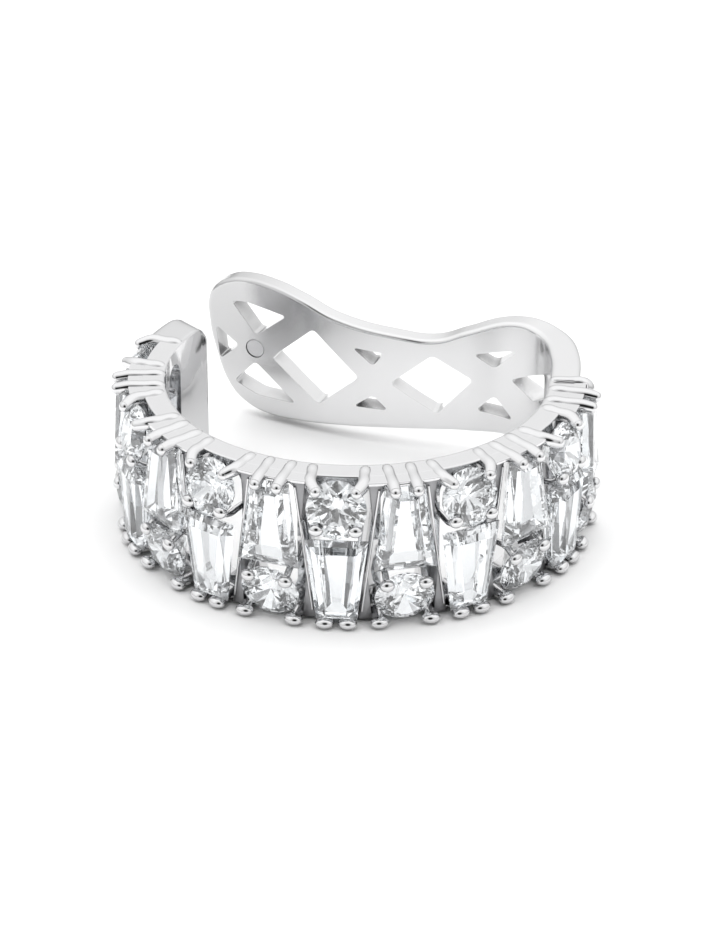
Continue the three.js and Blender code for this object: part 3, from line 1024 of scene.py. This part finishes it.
gapPatterns = [
    (divider("barLeaningRight", 1), postPair("postsLeaningRight", 1)),
    (divider("barLeaningLeft", -1), postPair("postsLeaningLeft", -1)),
]
for gap in range(cuff["columns"] - 1):
    bar, posts = gapPatterns[gap % 2]
    angle = bandStart + (gap + 1) * cuff["pitch"]
    for pattern, name, metal in (
        (bar, f"divider_bar_{gap + 1:02d}", whiteMetal),
        (posts, f"post_pair_{gap + 1:02d}", shadedMetal),
    ):
        piece = copyOf(pattern, name)
        placeOnRing(piece, angle, False)
        finishPiece(piece, metal)
for pair in gapPatterns:
    for pattern in pair:
        bpy.data.objects.remove(pattern)

backCurve = plateCurve()
finishPiece(latticePlate(backCurve), plateMetal)
finishPiece(crossingDisc(backCurve), satinMetal)
bpy.data.objects.remove(backCurve)
bpy.data.objects.remove(ringCurve)

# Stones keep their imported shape

for name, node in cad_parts.items():
    if "stone" in name:
        node.data.materials.clear()
        node.data.materials.append(clearGem)
print("stones set")

# Floor

stageLook = {
    "floorRadius": 0.08,
    "floorColour": (0.93, 0.93, 0.93, 1),
    "speckle": 0.99,
    "grain": 300,
    "roughness": 0.8,
    "shine": 0.1,
}


def paleFloor():
    clearSelection()
    bpy.ops.mesh.primitive_circle_add(
        vertices=96, radius=stageLook["floorRadius"], fill_type="NGON", location=(0, 0, 0)
    )
    floor = bpy.context.object
    floor.name = "floor"
    material, tree, shader = newMaterial("paleFloor")
    shader.inputs["Roughness"].default_value = stageLook["roughness"]
    shader.inputs["Specular IOR Level"].default_value = stageLook["shine"]
    place = nodeOf(tree, "ShaderNodeTexCoord")
    grain = nodeOf(tree, "ShaderNodeTexNoise")
    grain.inputs["Scale"].default_value = stageLook["grain"]
    tint = nodeOf(tree, "ShaderNodeValToRGB")
    colour = stageLook["floorColour"]
    tint.color_ramp.elements[0].color = [stageLook["speckle"] * c for c in colour]
    tint.color_ramp.elements[1].color = colour
    tree.links.new(place.outputs["Object"], grain.inputs["Vector"])
    tree.links.new(grain.outputs["Fac"], tint.inputs["Fac"])
    tree.links.new(tint.outputs["Color"], shader.inputs["Base Color"])
    floor.data.materials.append(material)


paleFloor()

# Camera at the photograph's angle

view = {
    "elevation": 30,
    "distance": 0.13,
    "lens": 188.1,
    "sensor": 36,
    "aside": 0.0000804,  # the picture's middle from the hollow's, to the right
    "above": -0.000536,  # and up
}


def frontCamera():
    tilt = math.radians(view["elevation"])
    ahead = Vector((0, math.cos(tilt), -math.sin(tilt)))
    upward = Vector((0, math.sin(tilt), math.cos(tilt)))
    middle = Vector(hollowMiddle) + Vector((0, 0, workScale * cuff["height"] / 2))
    place = middle - view["distance"] * ahead
    place += view["above"] * upward + Vector((view["aside"], 0, 0))
    bpy.ops.object.camera_add(location=place, rotation=(math.pi / 2 - tilt, 0, 0))
    camera = bpy.context.object
    camera.data.lens = view["lens"]
    camera.data.sensor_width = view["sensor"]
    camera.data.clip_start = 0.01
    camera.data.clip_end = 5
    bpy.context.scene.camera = camera


frontCamera()

# Soft white tent with a dark opening in front

tent = {
    "seen": 1.0,  # brightness of the backdrop behind the floor
    "roof": 1.15,
    "roofPlace": 0.9,  # from straight down, 0, to straight up, 1
    "wall": 0.86,
    "wallPlace": 0.62,
    "foot": 0.3,
    "footPlace": 0.45,
    "front": 0.7,
    "frontWidth": 50,  # degrees
    "frontSoft": 0.6,  # share of that width where it is at its darkest
    "lens": 0.02,
    "lensWidth": 26,  # degrees
    "lensSoft": 0.8,
    "strength": 1.12,
    "floorStrength": 1.9,  # for light that falls on matt surfaces
}


def whiteTent():
    world = bpy.data.worlds.new("whiteTent")
    bpy.context.scene.world = world
    world.use_nodes = True
    tree = world.node_tree
    tree.nodes.clear()
    place = nodeOf(tree, "ShaderNodeTexCoord")
    parts = nodeOf(tree, "ShaderNodeSeparateXYZ")
    height = nodeOf(tree, "ShaderNodeMapRange")
    height.inputs["From Min"].default_value = -1
    ramp = nodeOf(tree, "ShaderNodeValToRGB")
    ramp.color_ramp.elements[0].position = tent["footPlace"]
    ramp.color_ramp.elements[0].color = [tent["foot"]] * 3 + [1]
    ramp.color_ramp.elements[1].position = tent["roofPlace"]
    ramp.color_ramp.elements[1].color = [tent["roof"]] * 3 + [1]
    middle = ramp.color_ramp.elements.new(tent["wallPlace"])
    middle.color = [tent["wall"]] * 3 + [1]
    tilt = math.radians(view["elevation"])
    towards = nodeOf(tree, "ShaderNodeVectorMath", operation="DOT_PRODUCT")
    towards.inputs[1].default_value = (0, -math.cos(tilt), math.sin(tilt))
    shade = ramp.outputs["Color"]
    for width, value, soft in (
        (tent["frontWidth"], tent["front"], tent["frontSoft"]),
        (tent["lensWidth"], tent["lens"], tent["lensSoft"]),
    ):
        spread = nodeOf(tree, "ShaderNodeMapRange")
        spread.inputs["From Min"].default_value = math.cos(math.radians(width))
        spread.inputs["From Max"].default_value = math.cos(math.radians(width * soft))
        tree.links.new(towards.outputs["Value"], spread.inputs["Value"])
        mix = nodeOf(tree, "ShaderNodeMix", data_type="RGBA")
        mix.inputs["B"].default_value = (value, value, value, 1)
        tree.links.new(spread.outputs["Result"], mix.inputs["Factor"])
        tree.links.new(shade, mix.inputs["A"])
        shade = mix.outputs["Result"]
    tentLight = nodeOf(tree, "ShaderNodeBackground")
    tentLight.inputs["Strength"].default_value = tent["strength"]
    backdrop = nodeOf(tree, "ShaderNodeBackground")
    backdrop.inputs["Color"].default_value = (1, 1, 1, 1)
    backdrop.inputs["Strength"].default_value = tent["seen"]
    rays = nodeOf(tree, "ShaderNodeLightPath")
    choose = nodeOf(tree, "ShaderNodeMixShader")
    floorLight = nodeOf(tree, "ShaderNodeBackground")
    floorLight.inputs["Strength"].default_value = tent["floorStrength"]
    chooseFloor = nodeOf(tree, "ShaderNodeMixShader")
    output = nodeOf(tree, "ShaderNodeOutputWorld")
    tree.links.new(place.outputs["Generated"], parts.inputs["Vector"])
    tree.links.new(place.outputs["Generated"], towards.inputs[0])
    tree.links.new(parts.outputs["Z"], height.inputs["Value"])
    tree.links.new(height.outputs["Result"], ramp.inputs["Fac"])
    tree.links.new(shade, tentLight.inputs["Color"])
    tree.links.new(shade, floorLight.inputs["Color"])
    tree.links.new(rays.outputs["Is Diffuse Ray"], chooseFloor.inputs["Fac"])
    tree.links.new(tentLight.outputs["Background"], chooseFloor.inputs[1])
    tree.links.new(floorLight.outputs["Background"], chooseFloor.inputs[2])
    tree.links.new(rays.outputs["Is Camera Ray"], choose.inputs["Fac"])
    tree.links.new(chooseFloor.outputs["Shader"], choose.inputs[1])
    tree.links.new(backdrop.outputs["Background"], choose.inputs[2])
    tree.links.new(choose.outputs["Shader"], output.inputs["Surface"])


whiteTent()
scene = bpy.context.scene
scene.cycles.max_bounces = 24  # light turns many times inside a cut stone
scene.cycles.glossy_bounces = 20
scene.cycles.transmission_bounces = 20
scene.view_settings.view_transform = "Standard"
scene.view_settings.look = "None"
print("stage lit")
